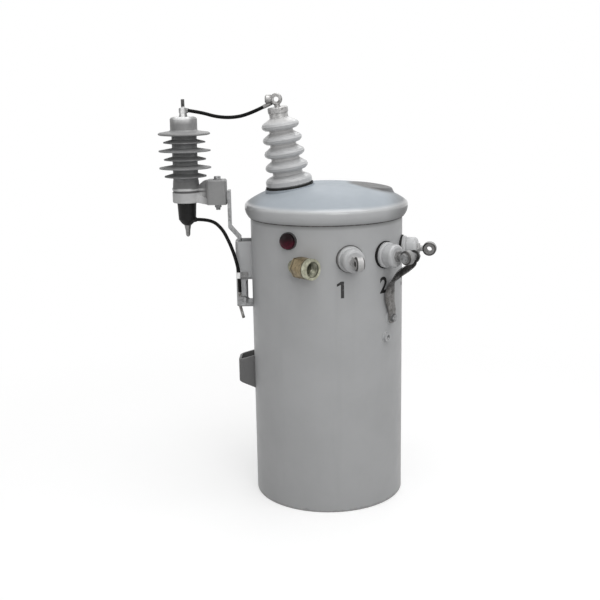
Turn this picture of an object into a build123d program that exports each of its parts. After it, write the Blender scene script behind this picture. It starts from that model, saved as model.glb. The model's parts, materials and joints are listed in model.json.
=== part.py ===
from build123d import *
import math
import os

# Pole mounted distribution transformer with a tank-side surge arrester.
# Millimetres. Z is up and z = 0 is the flat base. The tank axis is the Z axis.
# -Y is the front, where the low-voltage bushings are. -X is the pole side.
# Azimuths are in degrees round the tank from the front (-Y) towards +X.

# Tank
TANK_R = 175.0
TANK_TOP = 659.5
TANK_EDGE_R = 3.0
BASE_PLATE_R = 165.0
BASE_GROOVE_W = 4.0
BASE_GROOVE_D = 3.0

# Cover and its gasket
GASKET_T = 3.0
GASKET_OVERHANG = 1.2
COVER_BASE = TANK_TOP + GASKET_T
COVER_LIP_R = 179.5
COVER_MAX_R = 187.6
COVER_EDGE_R = 8.0
COVER_EDGE_Z = 687.5
COVER_EDGE_TURN = 58.0
COVER_APEX_Z = 736.8
DOME_R = COVER_MAX_R - COVER_EDGE_R * (1 - math.cos(math.radians(COVER_EDGE_TURN)))
DOME_EDGE_Z = COVER_EDGE_Z + COVER_EDGE_R * math.sin(math.radians(COVER_EDGE_TURN))
DOME_K = (COVER_APEX_Z - DOME_EDGE_Z) / DOME_R**3

# High-voltage bushing, leaning out square to the dome
HV_BASE = (-82.0, -28.0, 732.5)
HV_LEAN_X = -0.135
HV_LEAN_Y = -0.05
HV_PAD_R = 57.0
HV_GASKET_R = 54.0
HV_GASKET_T = 4.0
HV_BASE_SHED_R = 52.5
HV_SHED_S = (47.5, 78.6, 109.2, 139.8)
HV_SHED_R = (48.5, 45.8, 44.4, 42.3)
HV_NECK_R = (34.0, 32.0, 29.5, 27.0, 22.0)
HV_PORCELAIN_TOP = 156.0
HV_CAP_R = 22.0
HV_CAP_H = 23.0
HV_EYE_R = 13.5
HV_EYE_HOLE_R = 5.5
HV_EYE_T = 14.0
HV_EYE_S = 196.0
HV_KNOB_R = 10.0

# Spare bushing pad pressed in the cover, never pierced
SPARE_PAD_X = 100.0
SPARE_PAD_Y = 12.0
SPARE_PAD_Z = 728.8
SPARE_PAD_R = 52.0
SPARE_PAD_LEAN = 0.135
SPARE_PAD_DRAFT = 35.0

# Surge arrester on its own vertical axis
ARR_X = -322.0
ARR_Y = 0.0
ARR_BODY_R = 28.7
ARR_BIG_R = 59.3
ARR_SMALL_R = 48.0
ARR_SHED_PITCH = 19.3
ARR_SHED_TOP_Z = 852.0
ARR_SHED_COUNT = 6
ARR_CAP_R = 30.8
ARR_CAP_TOP = 890.0
ARR_BODY_BOTTOM = 746.0
ARR_COLLAR_R = 32.0
ARR_COLLAR_LEDGE = 728.0
ARR_COLLAR_BOTTOM = 695.5
ARR_STUD_R = 3.8
ARR_STUD_TOP = 929.0
DISC_TOP_R = 22.0
DISC_LOW_R = 20.0
DISC_BOTTOM = 656.0
DISC_CONE_R = 8.5
DISC_CONE_BOTTOM = 642.5
DISC_STUD_TIP = 615.0

# Insulating bracket block and the steel bar that carries it
BLOCK_X0 = -273.0
BLOCK_X1 = -229.0
BLOCK_Z0 = 690.0
BLOCK_Z1 = 747.0
BLOCK_W = 40.0
BLOCK_BOLT_X = -249.5
BAR_T = 6.0
BAR_W = 32.0
BAR_OUT_X = -226.5
BAR_TOP = 722.0
BAR_KNEE_Z = 636.5
BAR_ANKLE_Z = 611.5
BAR_FOOT_Z = 552.0

# Hanger lugs on the pole side
LUG_FACE_X = -211.0
LUG_HALF_W = 30.0
LUG_T = 6.0
LUG_BEND_R = 12.0
UP_LUG_Z0 = 453.5
UP_LUG_Z1 = 605.5
UP_WINDOW_TOP = 518.0
UP_WINDOW_X = -188.0
UP_WINDOW_R = 5.0
LOW_LUG_OUTER = (271.5, 322.5)
LOW_LUG_INNER = (254.5, 334.0)
SLOT_SPACING = 285.75
SLOT_LOW_Z = 297.0
SLOT_W = 18.0
SLOT_L = 30.0

# Low-voltage bushings, all alike
LV_Z = 588.0
LV_AZ = (16.5, 47.0, 78.0)
LV_GASKET_R = 30.5
LV_FLANGE_R = 28.5
LV_NOSE_R = 25.5
LV_FLANGE_END = 186.0
LV_NOSE_END = 212.0
LV_EYE_AT = 239.0
LV_EYE_R = 15.8
LV_EYE_HOLE_R = 6.0
LV_EYE_T = 18.0
LV_STUD_R = 6.5

# Overload signal light
LIGHT_AZ = -27.9
LIGHT_Z = 627.0
LIGHT_R = 19.5
LENS_R = 17.5
LIGHT_SEAT = 179.5
LENS_OUT = 191.5

# Brass pipe fitting with an angled open socket
FIT_AZ = -19.3
FIT_Z = 574.0
FIT_BACK_AT = 190.0
FIT_TURN = 43.0
FIT_NECK_R = 16.0
FIT_HEX_AF = 43.0
FIT_HEX_L = 18.0
FIT_SOCKET_R = 23.0
FIT_SOCKET_L = 30.0
FIT_BORE_R = 16.5
FIT_BORE_DEPTH = 27.0

# Ground strap from the middle bushing to the tank
STRAP_W = 26.0
STRAP_TOP_W = 13.0
STRAP_LUG_R = 14.0
STRAP_T = 3.0
STRAP_PAD_AZ = 53.5
STRAP_PAD_Z = 442.0
STRAP_PAD_OUT = 4.0
STRAP_LUG_OFF = 24.0

# Ground boss
BOSS_AZ = 48.7
BOSS_Z = 399.0
BOSS_R = 11.0
BOSS_BACK = 168.0
BOSS_OUT = 182.0
BOSS_HOLE_R = 5.5
BOSS_HOLE_DEPTH = 12.0

# Insulated leads
LEAD_R = 4.0
LEAD_SIDE_Y = -36.5
CLIP_X = -203.3
CLIP_Z = 529.0
WIRE_R = 3.2


def turned(points):
    """Solid of revolution about Z from a closed outline of (radius, height) points."""
    return revolve(Plane.XZ * make_face(Polyline(points, close=True)), Axis.Z)


def radial_plane(azimuth, height, distance=0.0):
    """Plane on the tank axis side facing out: local x runs round the tank, local y is up."""
    a = math.radians(azimuth)
    out = Vector(math.sin(a), -math.cos(a), 0)
    round_tank = Vector(math.cos(a), math.sin(a), 0)
    return Plane(origin=out * distance + Vector(0, 0, height), x_dir=round_tank, z_dir=out)


def rod(radius, start, end):
    """Cylinder from one point to another."""
    a = Vector(*start)
    d = Vector(*end) - a
    return extrude(Plane(origin=a, z_dir=d.normalized()) * Circle(radius), d.length)


def disc_up(radius, z0, z1, x=0.0, y=0.0):
    """Upright cylinder between two heights."""
    return Pos(x, y, z0) * extrude(Circle(radius), z1 - z0)


def tank_core():
    """The cylinder that everything welded or gasketed to the wall is trimmed against."""
    return disc_up(TANK_R, -50, 800)


def tank_body():
    body = disc_up(TANK_R, 0, TANK_TOP)
    body = fillet(body.edges().group_by(Axis.Z)[0], TANK_EDGE_R)
    weld = turned([(BASE_PLATE_R, 0), (BASE_PLATE_R + BASE_GROOVE_W, 0),
                   (BASE_PLATE_R + BASE_GROOVE_W / 2, BASE_GROOVE_D)])
    boss_seat = extrude(radial_plane(BOSS_AZ, BOSS_Z, BOSS_BACK) * Circle(BOSS_R), 20)
    return body - weld - boss_seat


def hv_plane(s=0.0):
    """Plane square to the high-voltage bushing axis at distance s from its seat."""
    axis = Vector(HV_LEAN_X, HV_LEAN_Y, 1).normalized()
    return Plane(origin=Vector(*HV_BASE) + axis * s, x_dir=(1, 0, -HV_LEAN_X), z_dir=axis)


def dome_z(r):
    return COVER_APEX_Z - DOME_K * r**3


def cover():
    band = Spline((COVER_LIP_R, COVER_BASE), (COVER_MAX_R - 2.2, COVER_BASE + 10),
                  (COVER_MAX_R, COVER_EDGE_Z), tangents=((0.7, 1), (0, 1)))
    edge = CenterArc((COVER_MAX_R - COVER_EDGE_R, COVER_EDGE_Z), COVER_EDGE_R, 0, COVER_EDGE_TURN)
    dome = Spline(*[(DOME_R * k / 4, dome_z(DOME_R * k / 4)) for k in (4, 3, 2, 1, 0)])
    closing = Polyline((0, COVER_APEX_Z), (0, COVER_BASE), (COVER_LIP_R, COVER_BASE))
    body = revolve(Plane.XZ * make_face(band + edge + dome + closing), Axis.Z)
    pad = extrude(hv_plane(-18) * Circle(HV_PAD_R), 18, taper=2)
    return body + pad + spare_pad()


def spare_pad():
    """Flat seat for a second bushing, which stands out of the dome on its outer side."""
    depth = 20.0
    seat = Plane(origin=(SPARE_PAD_X, SPARE_PAD_Y, SPARE_PAD_Z), z_dir=(SPARE_PAD_LEAN, 0, 1))
    foot_r = SPARE_PAD_R + depth * math.tan(math.radians(SPARE_PAD_DRAFT))
    pad = extrude(seat.offset(-depth) * Circle(foot_r), depth, taper=SPARE_PAD_DRAFT)
    return fillet(pad.faces().sort_by(Axis.Z)[-1].edges(), 5) & disc_up(DOME_R, 600, 800)


def cover_gasket():
    outer = disc_up(TANK_R + GASKET_OVERHANG, TANK_TOP, COVER_BASE)
    return outer - disc_up(TANK_R - 22, TANK_TOP - 1, COVER_BASE + 1)


def hv_gasket():
    return extrude(hv_plane() * Circle(HV_GASKET_R), HV_GASKET_T)


def shed_points(s, radius, neck_below, neck_above):
    """Rounded thick porcelain shed centred at s."""
    return [(neck_below, s - 11), (radius - 6, s - 9.5), (radius - 1.2, s - 5.5), (radius, s - 0.5),
            (radius - 2.5, s + 4.5), (radius - 8, s + 8), (neck_above, s + 14)]


def hv_porcelain():
    pts = [(0, HV_GASKET_T), (HV_BASE_SHED_R - 3, HV_GASKET_T), (HV_BASE_SHED_R, HV_GASKET_T + 3),
           (HV_BASE_SHED_R, HV_GASKET_T + 12), (HV_BASE_SHED_R - 3, HV_GASKET_T + 17),
           (HV_BASE_SHED_R - 9, HV_GASKET_T + 20), (HV_NECK_R[0], HV_GASKET_T + 24)]
    for i, (s, r) in enumerate(zip(HV_SHED_S, HV_SHED_R)):
        pts += shed_points(s, r, HV_NECK_R[i], HV_NECK_R[i + 1])
    pts += [(HV_CAP_R - 1, HV_PORCELAIN_TOP), (0, HV_PORCELAIN_TOP)]
    return hv_plane().location * turned(pts)


def hv_cap():
    s0 = HV_PORCELAIN_TOP
    top = s0 + HV_CAP_H
    r = HV_CAP_R
    pts = [(0, s0), (r - 1, s0), (r - 1, s0 + 9), (r + 0.8, s0 + 11), (r + 0.8, top - 2),
           (r - 1.5, top), (0, top)]
    return hv_plane().location * turned(pts)


def hv_eye_centre():
    return hv_plane(HV_EYE_S).origin


def hv_terminal():
    c = hv_eye_centre()
    top = HV_PORCELAIN_TOP + HV_CAP_H
    stem = extrude(hv_plane(top) * Circle(6.5), HV_EYE_S - top)
    eye = rod(HV_EYE_R, (c.X, c.Y - HV_EYE_T / 2, c.Z), (c.X, c.Y + HV_EYE_T / 2, c.Z))
    eye = chamfer(eye.edges(), 2)
    hole = rod(HV_EYE_HOLE_R, (c.X, c.Y - 20, c.Z), (c.X, c.Y + 20, c.Z))
    knob = rod(HV_KNOB_R, (c.X - 9, c.Y, c.Z), (c.X - 25, c.Y, c.Z))
    knob = chamfer(knob.edges(), 3)
    body = stem + eye + knob - hole
    return body + end_barrel(jumper_points()[::-1][:2], 4.6, 20)


def end_barrel(first_two, radius, length, flare=0):
    """Barrel from a lead's end face straight on, away from the lead, widening by the flare angle."""
    end = Vector(*first_two[0])
    away = (end - Vector(*first_two[1])).normalized()
    return extrude(Plane(origin=end, z_dir=away) * Circle(radius), length, taper=-flare)


def jumper_points():
    return [(ARR_X + 12, -1, 903.5), (-280, -4, 899), (-246, -11, 889), (-209, -19, 886.5),
            (-172, -27, 893.5), (-136.5, -34.5, 910)]


def ground_lead_points():
    y = LEAD_SIDE_Y
    return [(ARR_X + 22, ARR_Y - 2, 655), (-267, -5, 655), (-241, -15, 635.5), (-225, -26, 607),
            (-212.5, -34, 577), (-204, y, 543), (-202.3, y, 510), (-202.3, y, 489)]


def bend_radii(points):
    """Largest radius each corner takes, from its shorter run and the turn there."""
    radii = []
    for a, b, c in zip(points, points[1:], points[2:]):
        u = Vector(*b) - Vector(*a)
        v = Vector(*c) - Vector(*b)
        half = math.radians(u.get_angle(v)) / 2
        radii.append(0.45 * min(u.length, v.length) / math.tan(half))
    return radii


def lead(points, radius, name):
    radii = bend_radii(points)
    path = FilletPolyline(*points, radius=radii)
    start = Plane(origin=points[0], z_dir=path % 0)
    solid = sweep(start * Circle(radius), path=path)
    print(name, "length", round(path.length, 1), "radii", [round(r, 1) for r in radii],
          "volume/section", round(solid.volume / (math.pi * radius**2), 1))
    return solid


def hex_nut(across_flats, height, centre, axis=(0, 0, 1)):
    """Solid hexagon centred on a point of its near face."""
    hexagon = RegularPolygon(across_flats / 2, 6, major_radius=False)
    return extrude(Plane(origin=centre, z_dir=axis) * hexagon, height)


def arrester_cap():
    top = ARR_CAP_TOP
    low = ARR_SHED_TOP_Z
    r = ARR_CAP_R
    tip = ARR_BIG_R
    pts = [(0, top), (r - 7, top), (r - 2.5, top - 1.5), (r, top - 5), (r, low + 9), (r + 3, low + 6.5),
           (tip - 3, low + 3), (tip, low + 1), (tip, low - 1.5), (tip - 3, low - 3), (r + 2, low - 5),
           (0, low - 5)]
    return Pos(ARR_X, ARR_Y, 0) * turned(pts)


def arrester_housing():
    r = ARR_BODY_R
    top = ARR_SHED_TOP_Z - 5
    pts = [(0, top), (r, top)]
    for i in range(1, ARR_SHED_COUNT):
        z = ARR_SHED_TOP_Z - i * ARR_SHED_PITCH
        tip = ARR_SMALL_R if i % 2 else ARR_BIG_R
        pts += [(r, z + 6.5), (tip, z + 1.2), (tip, z - 1.2), (r, z - 4)]
    pts += [(r, ARR_BODY_BOTTOM), (0, ARR_BODY_BOTTOM)]
    return Pos(ARR_X, ARR_Y, 0) * turned(pts)


def arrester_terminal():
    x, y = ARR_X, ARR_Y
    stud = disc_up(ARR_STUD_R, ARR_CAP_TOP, ARR_STUD_TOP, x, y)
    washer = disc_up(9.5, ARR_CAP_TOP, ARR_CAP_TOP + 3, x, y)
    nut = hex_nut(15, 8, (x, y, ARR_CAP_TOP + 3))
    clamp = Pos(x, y, 904) * Box(17, 15, 12)
    clamp = fillet(clamp.edges().filter_by(Axis.Y), 3)
    return stud + washer + nut + clamp + end_barrel(jumper_points()[:2], 5.5, 12)


def bracket_collar():
    """Moulded cup under the housing: a tapered upper part, a ledge, a groove and a plain lower ring."""
    r, top, ledge, low = ARR_COLLAR_R, ARR_BODY_BOTTOM, ARR_COLLAR_LEDGE, ARR_COLLAR_BOTTOM
    pts = [(0, top), (r - 2.5, top), (r - 1.5, ledge + 2), (r, ledge), (r, ledge - 4), (r - 2, ledge - 5),
           (r - 2, ledge - 7.5), (r, ledge - 8.5), (r, low + 1.5), (r - 1.5, low), (0, low)]
    return Pos(ARR_X, ARR_Y, 0) * turned(pts)


def insulating_bracket():
    x, y = ARR_X, ARR_Y
    curve = Spline((x + 26, 730), (x + 33, 738), (BLOCK_X0 - 8, BLOCK_Z1 - 3), (BLOCK_X0 + 4, BLOCK_Z1 - 1.5))
    rest = Polyline((BLOCK_X0 + 4, BLOCK_Z1 - 1.5), (BLOCK_X0 + 4, BLOCK_Z0), (x + 28, ARR_COLLAR_BOTTOM),
                    (x, ARR_COLLAR_BOTTOM), (x, 730), (x + 26, 730))
    arm = extrude(Plane.XZ.offset(-y) * make_face(curve + rest), 17, both=True)
    above_band = Polyline((x + 24, 719), (BLOCK_X0, 706), (BLOCK_X0, 760), (x + 24, 760), close=True)
    recess = extrude(Plane.XZ.offset(-y) * make_face(above_band), 20, both=True)
    web = Pos(x, y, 730) * Box(200, 16, 80)
    arm = arm - (recess - web)
    cx = (BLOCK_X0 + BLOCK_X1) / 2
    cz = (BLOCK_Z0 + BLOCK_Z1) / 2
    block = Pos(cx, y, cz) * Box(BLOCK_X1 - BLOCK_X0, BLOCK_W, BLOCK_Z1 - BLOCK_Z0)
    block = fillet(block.edges().filter_by(Axis.Z), 6)
    block = chamfer(block.faces().sort_by(Axis.Z)[-1].edges(), 3)
    spacer = rod(13, (BLOCK_X1 - 1, y, cz - 10), (BAR_OUT_X, y, cz - 10))
    body = bracket_collar() + arm + block + spacer
    return body - disc_up(5, BLOCK_Z0 - 1, BLOCK_Z1 + 1, BLOCK_BOLT_X, y)


def bracket_bolt():
    x, y = BLOCK_BOLT_X, ARR_Y
    shank = disc_up(5, BLOCK_Z0 - 13, BLOCK_Z1, x, y)
    return shank + hex_nut(13, 6, (x, y, BLOCK_Z1)) + hex_nut(13, 7, (x, y, BLOCK_Z0 - 7))


def mounting_bar():
    """Flat bar set back by two bends, whose slotted foot lies inside the upper lug."""
    foot = LUG_FACE_X + LUG_T
    out = BAR_OUT_X
    t = BAR_T
    lean = math.atan2(foot - out, BAR_KNEE_Z - BAR_ANKLE_Z)
    up = t * math.tan(lean / 2)
    outline = [(out, BAR_TOP), (out, BAR_KNEE_Z), (foot, BAR_ANKLE_Z), (foot, BAR_FOOT_Z),
               (foot + t, BAR_FOOT_Z), (foot + t, BAR_ANKLE_Z + up), (out + t, BAR_KNEE_Z + up),
               (out + t, BAR_TOP)]
    bar = extrude(Plane.XZ.offset(-ARR_Y) * make_face(Polyline(outline, close=True)), BAR_W / 2, both=True)
    return bar - pole_slot(SLOT_LOW_Z + SLOT_SPACING)


def disconnector():
    r, low = DISC_TOP_R, DISC_BOTTOM
    pts = [(0, ARR_COLLAR_BOTTOM), (r, ARR_COLLAR_BOTTOM), (DISC_LOW_R, low),
           (DISC_CONE_R + 5, DISC_CONE_BOTTOM + 4), (DISC_CONE_R, DISC_CONE_BOTTOM), (0, DISC_CONE_BOTTOM)]
    body = Pos(ARR_X, ARR_Y, 0) * turned(pts)
    return body + end_barrel(ground_lead_points()[:2], 5, 18, 12)


def disconnector_stud():
    z, tip = DISC_CONE_BOTTOM, DISC_STUD_TIP
    pts = [(0, z), (8, z), (5.6, z - 12), (5, tip + 5), (3.6, tip + 1.5), (1.5, tip), (0, tip)]
    return Pos(ARR_X, ARR_Y, 0) * turned(pts)


def channel(z0, z1):
    """U-section with rounded corners, open to the tank wall."""
    x0, x1 = LUG_FACE_X, -120.0
    outer = Pos((x0 + x1) / 2, 0, z0) * extrude(Rectangle(x1 - x0, 2 * LUG_HALF_W), z1 - z0)
    west = outer.edges().filter_by(Axis.Z).sort_by(Axis.X)[:2]
    outer = fillet(west, LUG_BEND_R)
    inner_w = 2 * (LUG_HALF_W - LUG_T)
    inner = Pos((x0 + LUG_T + x1) / 2, 0, z0) * extrude(Rectangle(x1 - x0 - LUG_T, inner_w), z1 - z0)
    inner = fillet(inner.edges().filter_by(Axis.Z).sort_by(Axis.X)[:2], LUG_BEND_R - LUG_T)
    return outer - inner - tank_core()


def pole_slot(z):
    half = (SLOT_L - SLOT_W) / 2
    mid = Pos(LUG_FACE_X + LUG_T / 2, 0, z) * Box(20, SLOT_W, 2 * half)
    x0, x1 = LUG_FACE_X - 7, LUG_FACE_X + 13
    ends = [rod(SLOT_W / 2, (x0, 0, z + k * half), (x1, 0, z + k * half)) for k in (-1, 1)]
    return mid + ends[0] + ends[1]


def upper_lug():
    """Channel with a window in each side and a floor plate bent back to the tank."""
    body = channel(UP_LUG_Z0, UP_LUG_Z1)
    depth = -LUG_FACE_X - 100
    floor = Pos(LUG_FACE_X + depth / 2, 0, UP_LUG_Z0 + LUG_T / 2) * Box(depth, 2 * LUG_HALF_W, LUG_T)
    floor = fillet(floor.edges().filter_by(Axis.Z).sort_by(Axis.X)[:2], LUG_BEND_R) - tank_core()
    low, high = UP_LUG_Z0 + LUG_T, UP_WINDOW_TOP
    window = Pos((UP_WINDOW_X - 120) / 2, 0, (low + high) / 2) * Box(-120 - UP_WINDOW_X, 100, high - low)
    window = fillet(window.edges().filter_by(Axis.Y).sort_by(Axis.X)[:2], UP_WINDOW_R)
    return body - window + floor - pole_slot(SLOT_LOW_Z + SLOT_SPACING)


def lower_lug():
    body = channel(LOW_LUG_INNER[0], LOW_LUG_INNER[1])
    x_in = -172.0
    outline = [(LUG_FACE_X - 1, LOW_LUG_OUTER[0]), (x_in, LOW_LUG_INNER[0]), (-100, LOW_LUG_INNER[0]),
               (-100, LOW_LUG_INNER[1]), (x_in, LOW_LUG_INNER[1]), (LUG_FACE_X - 1, LOW_LUG_OUTER[1])]
    wedge = extrude(Plane.XZ * make_face(Polyline(outline, close=True)), 100, both=True)
    return (body & wedge) - pole_slot(SLOT_LOW_Z)


def lead_clip():
    """Ring round the lead with a tab screwed to the side of the upper lug."""
    x, y, z = CLIP_X, LEAD_SIDE_Y, CLIP_Z
    ring = disc_up(LEAD_R + 2.5, z - 7, z + 7, x, y)
    tab = Pos(x + 12, -LUG_HALF_W - 1.25, z) * Box(18, 2.5, 12)
    web = Pos(x + 5, (y - LUG_HALF_W) / 2, z) * Box(6, -LUG_HALF_W - y, 12)
    screw = rod(4, (x + 15, -LUG_HALF_W - 2, z), (x + 15, -LUG_HALF_W - 6, z))
    return ring + web + tab + screw - disc_up(LEAD_R + 0.8, z - 8, z + 8, x, y)


def ground_connector():
    """Clamp on the side of the upper lug that takes the bare end of the ground lead."""
    x, y, z = ground_lead_points()[-1][0], LEAD_SIDE_Y, 468.5
    body = Pos(x + 5, -LUG_HALF_W - 7.5, z) * Box(20, 15, 20)
    body = fillet(body.edges().filter_by(Axis.Y), 4)
    bolt = rod(4, (x + 5, y - 6, z), (x + 5, y - 12, z))
    return body + bolt - disc_up(WIRE_R, z - 20, z + 20, x, y)


def ground_wire_end():
    end = ground_lead_points()[-1]
    knee = (end[0], end[1], 456)
    tail = (end[0] + 7, end[1] + 1, 428)
    return rod(WIRE_R, end, knee) + Pos(*knee) * Sphere(WIRE_R) + rod(WIRE_R, knee, tail)


def lv_gasket(azimuth):
    blank = extrude(radial_plane(azimuth, LV_Z, 150) * Circle(LV_GASKET_R), 28.5)
    return blank - tank_core()


def lv_porcelain(azimuth):
    r0, flange, nose, end = 178.5, LV_FLANGE_R, LV_NOSE_R, LV_NOSE_END
    pts = [(0, r0), (flange, r0), (flange, LV_FLANGE_END - 2), (flange - 1.5, LV_FLANGE_END),
           (nose - 1.2, LV_FLANGE_END + 1), (nose, LV_FLANGE_END + 3), (nose, end - 6), (nose - 2, end - 2),
           (nose - 6, end), (0, end)]
    return radial_plane(azimuth, LV_Z).location * turned(pts)


def lv_terminal(azimuth):
    base = radial_plane(azimuth, LV_Z, LV_NOSE_END)
    stud = extrude(base * Circle(LV_STUD_R), LV_EYE_AT - LV_NOSE_END)
    nut = extrude(base * RegularPolygon(11, 6, major_radius=False), 5)
    eye_plane = radial_plane(azimuth, LV_Z, LV_EYE_AT)
    eye = eye_plane.location * Rot(0, 90, 0) * Cylinder(LV_EYE_R, LV_EYE_T)
    eye = chamfer(eye.edges(), 3)
    hole = eye_plane.location * Rot(0, 90, 0) * Cylinder(LV_EYE_HOLE_R, LV_EYE_T + 30)
    return stud + nut + eye - hole


def light_bezel():
    blank = extrude(radial_plane(LIGHT_AZ, LIGHT_Z, 150) * Circle(LIGHT_R), LIGHT_SEAT - 150)
    recess = extrude(radial_plane(LIGHT_AZ, LIGHT_Z, 176.5) * Circle(LENS_R), 20)
    return blank - tank_core() - recess


def light_lens():
    """Lens that stands out of its bezel as a short drum with a domed front."""
    back, shoulder, r = 176.5, LENS_OUT - 5, LENS_R - 0.5
    dome_r = (r**2 + 25) / 10
    body = extrude(radial_plane(LIGHT_AZ, LIGHT_Z, back) * Circle(LENS_R), LIGHT_SEAT - back)
    drum = extrude(radial_plane(LIGHT_AZ, LIGHT_Z, LIGHT_SEAT) * Circle(r), LENS_OUT - LIGHT_SEAT)
    ball = radial_plane(LIGHT_AZ, LIGHT_Z, LENS_OUT - dome_r).location * Sphere(dome_r)
    cap = extrude(radial_plane(LIGHT_AZ, LIGHT_Z, shoulder) * Circle(r), 5)
    return body + (drum - cap) + (cap & ball)


def fitting_plane(t=0.0):
    a = math.radians(FIT_AZ)
    start = Vector(FIT_BACK_AT * math.sin(a), -FIT_BACK_AT * math.cos(a), FIT_Z)
    b = math.radians(FIT_TURN)
    out = Vector(math.sin(b), -math.cos(b), 0)
    return Plane(origin=start + out * t, x_dir=(math.cos(b), math.sin(b), 0), z_dir=out)


def fitting_collar():
    neck = extrude(radial_plane(FIT_AZ - 2, FIT_Z, 150) * Circle(FIT_NECK_R), FIT_BACK_AT - 148)
    collar = extrude(fitting_plane() * RegularPolygon(FIT_HEX_AF / 2, 6, major_radius=False), FIT_HEX_L)
    crown = extrude(fitting_plane() * Circle(FIT_HEX_AF / 2 + 2.2), FIT_HEX_L)
    return neck + (collar & crown) - tank_core() - extrude(fitting_plane(FIT_HEX_L) * Circle(60), 60)


def fitting_socket():
    body = extrude(fitting_plane(FIT_HEX_L) * Circle(FIT_SOCKET_R), FIT_SOCKET_L)
    mouth = fitting_plane(FIT_HEX_L + FIT_SOCKET_L)
    return body - extrude(mouth * Circle(FIT_BORE_R), -FIT_BORE_DEPTH)


def strap_station(azimuth, distance, height, width, thickness, rise, spread, twist=0.0):
    """Cross-section of the strap: rise tilts its run out from the wall, spread leans it round the tank."""
    a = math.radians(azimuth)
    out = Vector(math.sin(a), -math.cos(a), 0)
    round_tank = Vector(math.cos(a), math.sin(a), 0)
    run = Vector(0, 0, 1) * math.cos(math.radians(rise)) + out * math.sin(math.radians(rise))
    run = (run + round_tank * math.tan(math.radians(spread))).normalized()
    across = (round_tank - run * round_tank.dot(run)).normalized().rotate(Axis((0, 0, 0), run), twist)
    where = Plane(origin=out * distance + Vector(0, 0, height), x_dir=across, z_dir=run)
    return where * Rectangle(width, thickness)


def eye_side(offset):
    """Plane beside the middle eye, square to its hole, at an offset from the bushing axis."""
    eye = radial_plane(LV_AZ[1], LV_Z, LV_EYE_AT)
    return Plane(origin=eye.origin + eye.x_dir * offset, x_dir=(0, 0, 1), z_dir=eye.x_dir)


def ground_strap():
    w, t, w2 = STRAP_W, STRAP_T, STRAP_TOP_W
    seat = TANK_R + STRAP_PAD_OUT + t / 2
    foot = radial_plane(STRAP_PAD_AZ, STRAP_PAD_Z, seat - t / 2)
    lower_lug = extrude(foot * (Circle(w / 2) + Pos(0, 7) * Rectangle(w, 14)), t)
    upper_lug = extrude(eye_side(STRAP_LUG_OFF - t / 2) * Circle(STRAP_LUG_R), t)
    low = STRAP_PAD_Z + 13
    body = loft([strap_station(STRAP_PAD_AZ, seat, low, w, t, 0, 0),
                 strap_station(STRAP_PAD_AZ - 0.4, seat, low + 8, w, t, 0, -3),
                 strap_station(51.2, seat + 0.4, 484, w, t, 0, -4),
                 strap_station(50.5, seat + 3, 508, w - 3, t, 12, 6),
                 strap_station(51.8, 188, 528, w - 8, t, 40, 14, 18),
                 strap_station(53.2, 203, 545, w2 + 2, t + 0.5, 55, 8, 48),
                 strap_station(53.1, 220, 557.5, w2, t + 0.5, 52, 0, 72),
                 strap_station(52.8, 235.5, 569, w2, t, 30, 0, 84.25),
                 strap_station(52.7, 239.5, 577, w2, t, 10, 0, 84.25)])
    return body + lower_lug + upper_lug


def ground_pad():
    blank = extrude(radial_plane(STRAP_PAD_AZ, STRAP_PAD_Z, 150) * Circle(14), 25 + STRAP_PAD_OUT)
    return blank - tank_core()


def strap_bolt():
    seat = TANK_R + STRAP_PAD_OUT + STRAP_T
    plane = radial_plane(STRAP_PAD_AZ, STRAP_PAD_Z, seat)
    head = extrude(plane.offset(1.5) * RegularPolygon(8, 6, major_radius=False), 6)
    return extrude(plane * Circle(9.5), 1.5) + head


def strap_top_bolt():
    """Bolt through the middle eye, with the strap's lug held between its nuts."""
    half = LV_EYE_T / 2
    inner = STRAP_LUG_OFF - STRAP_T / 2
    shank = extrude(eye_side(-half - 6) * Circle(6), half + 6 + inner)
    head = extrude(eye_side(-half - 7) * RegularPolygon(9, 6, major_radius=False), 7)
    nut = extrude(eye_side(half) * RegularPolygon(9, 6, major_radius=False), 8)
    washer = extrude(eye_side(half + 8) * Circle(9), inner - half - 8)
    return shank + head + nut + washer


def strap_top_nut():
    return extrude(eye_side(STRAP_LUG_OFF + STRAP_T / 2) * RegularPolygon(9, 6, major_radius=False), 8)


def ground_boss():
    """Boss let into the tank wall, with a blind tapped hole."""
    blank = extrude(radial_plane(BOSS_AZ, BOSS_Z, BOSS_BACK) * Circle(BOSS_R), BOSS_OUT - BOSS_BACK)
    hole = extrude(radial_plane(BOSS_AZ, BOSS_Z, BOSS_OUT) * Circle(BOSS_HOLE_R), -BOSS_HOLE_DEPTH)
    return blank - hole


def save(name, shape):
    solids = shape.solids()
    if len(solids) != 1:
        print("note:", name, "has", len(solids), "solids")
    export_step(shape, f"parts/{name}.step")


os.makedirs("parts", exist_ok=True)
save("tank_body", tank_body())
save("cover_gasket", cover_gasket())
save("cover", cover())
save("hv_bushing_gasket", hv_gasket())
save("hv_bushing_porcelain", hv_porcelain())
save("hv_bushing_cap", hv_cap())
save("hv_terminal", hv_terminal())
save("hv_jumper_lead", lead(jumper_points(), LEAD_R, "hv_jumper_lead"))
save("arrester_terminal", arrester_terminal())
save("arrester_cap", arrester_cap())
save("arrester_housing", arrester_housing())
save("arrester_insulating_bracket", insulating_bracket())
save("arrester_bracket_bolt", bracket_bolt())
save("arrester_mounting_bar", mounting_bar())
save("arrester_disconnector", disconnector())
save("disconnector_stud", disconnector_stud())
save("ground_lead", lead(ground_lead_points(), LEAD_R, "ground_lead"))
save("ground_lead_clip", lead_clip())
save("ground_connector", ground_connector())
save("ground_wire_end", ground_wire_end())
save("upper_hanger_lug", upper_lug())
save("lower_hanger_lug", lower_lug())
save("signal_light_bezel", light_bezel())
save("signal_light_lens", light_lens())
save("fitting_collar", fitting_collar())
save("fitting_socket", fitting_socket())
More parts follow.
